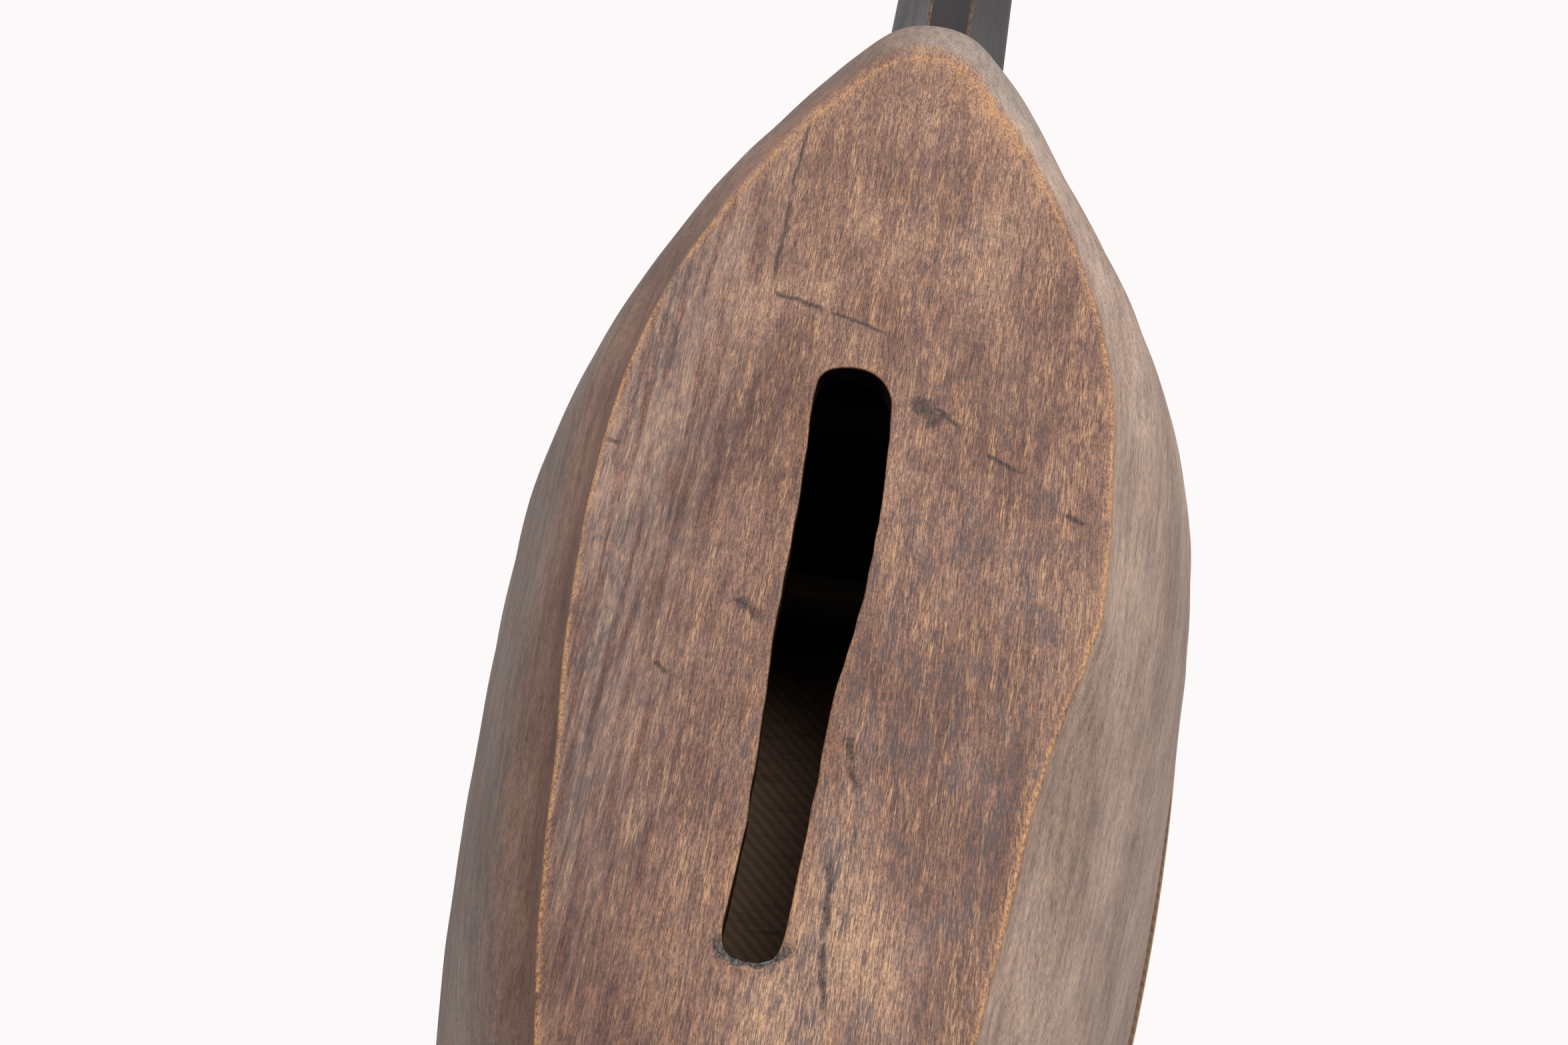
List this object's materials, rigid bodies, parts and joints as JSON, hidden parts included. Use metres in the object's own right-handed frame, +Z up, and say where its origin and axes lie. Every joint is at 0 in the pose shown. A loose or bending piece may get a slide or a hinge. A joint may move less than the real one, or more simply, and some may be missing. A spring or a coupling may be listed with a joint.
{
  "type": "balalaika",
  "caption": "Folk plucked lute with a carved boat-shaped bowl, a long slot in its flat keel, a faceted black neck, friction pegs and gut and steel strings.",
  "frame": {"origin": "on the centre line under the tail, level with the string pins' heads, half way between the strings at the bridge and the keel face", "axes": "+Z up the neck from tail to head, -Y out of the front towards the player's strings, +Y out of the keel at the back, +X to the right seen from the front"},
  "size_m": [0.1456, 0.094, 0.7045],
  "materials": {
    "carved_bowl_wood": "old oiled hardwood, stained and handled, satin",
    "soundboard_spruce": "aged spruce, thin varnish",
    "brace_spruce": "raw spruce",
    "black_lacquer": "black lacquer on hardwood, glossy, worn at the edges",
    "dark_veneer": "dark stained veneer, satin",
    "fingerboard_wood": "dark stained hardwood, satin",
    "fret_brass": "drawn brass wire",
    "bone": "polished bone, matte_plastic stands in for it",
    "bridge_maple": "oiled maple",
    "pin_brass": "turned brass",
    "peg_wood": "dark turned hardwood, waxed",
    "steel_string": "plain steel wire",
    "gut_string": "twisted gut, matte_plastic stands in for it"
  },
  "bodies": {
    "instrument": {"bowl": "carved_bowl_wood", "brace_lower": "brace_spruce", "brace_middle": "brace_spruce", "brace_upper": "brace_spruce", "bridge": "bridge_maple", "bridge_saddle": "bone", "fingerboard": "fingerboard_wood", "fret_01": "fret_brass", "fret_02": "fret_brass", "fret_03": "fret_brass", "fret_04": "fret_brass", "fret_05": "fret_brass", "fret_06": "fret_brass", "fret_07": "fret_brass", "fret_08": "fret_brass", "fret_09": "fret_brass", "fret_10": "fret_brass", "fret_11": "fret_brass", "fret_12": "fret_brass", "fret_13": "fret_brass", "fret_14": "fret_brass", "head": "black_lacquer", "head_veneer": "dark_veneer", "neck": "black_lacquer", "nut": "bone", "position_dots": "bone", "soundboard": "soundboard_spruce", "string_1": "gut_string", "string_2": "gut_string", "string_3": "steel_string", "string_pins": "pin_brass", "tail_saddle": "bone"},
    "peg_1": {"peg_1": "peg_wood"},
    "peg_2": {"peg_2": "peg_wood"},
    "peg_3": {"peg_3": "peg_wood"}
  },
  "joints": [
    {"name": "peg_1_turn", "type": "hinge", "parent": "instrument", "child": "peg_1", "pos_m": [-0.0102, -0.02805, 0.62739], "axis": [0, 0.9848, -0.1736], "continuous": true},
    {"name": "peg_2_turn", "type": "hinge", "parent": "instrument", "child": "peg_2", "pos_m": [0, -0.0218, 0.66285], "axis": [0, 0.9848, -0.1736], "continuous": true},
    {"name": "peg_3_turn", "type": "hinge", "parent": "instrument", "child": "peg_3", "pos_m": [0.0102, -0.02805, 0.62739], "axis": [0, 0.9848, -0.1736], "continuous": true}
  ]
}
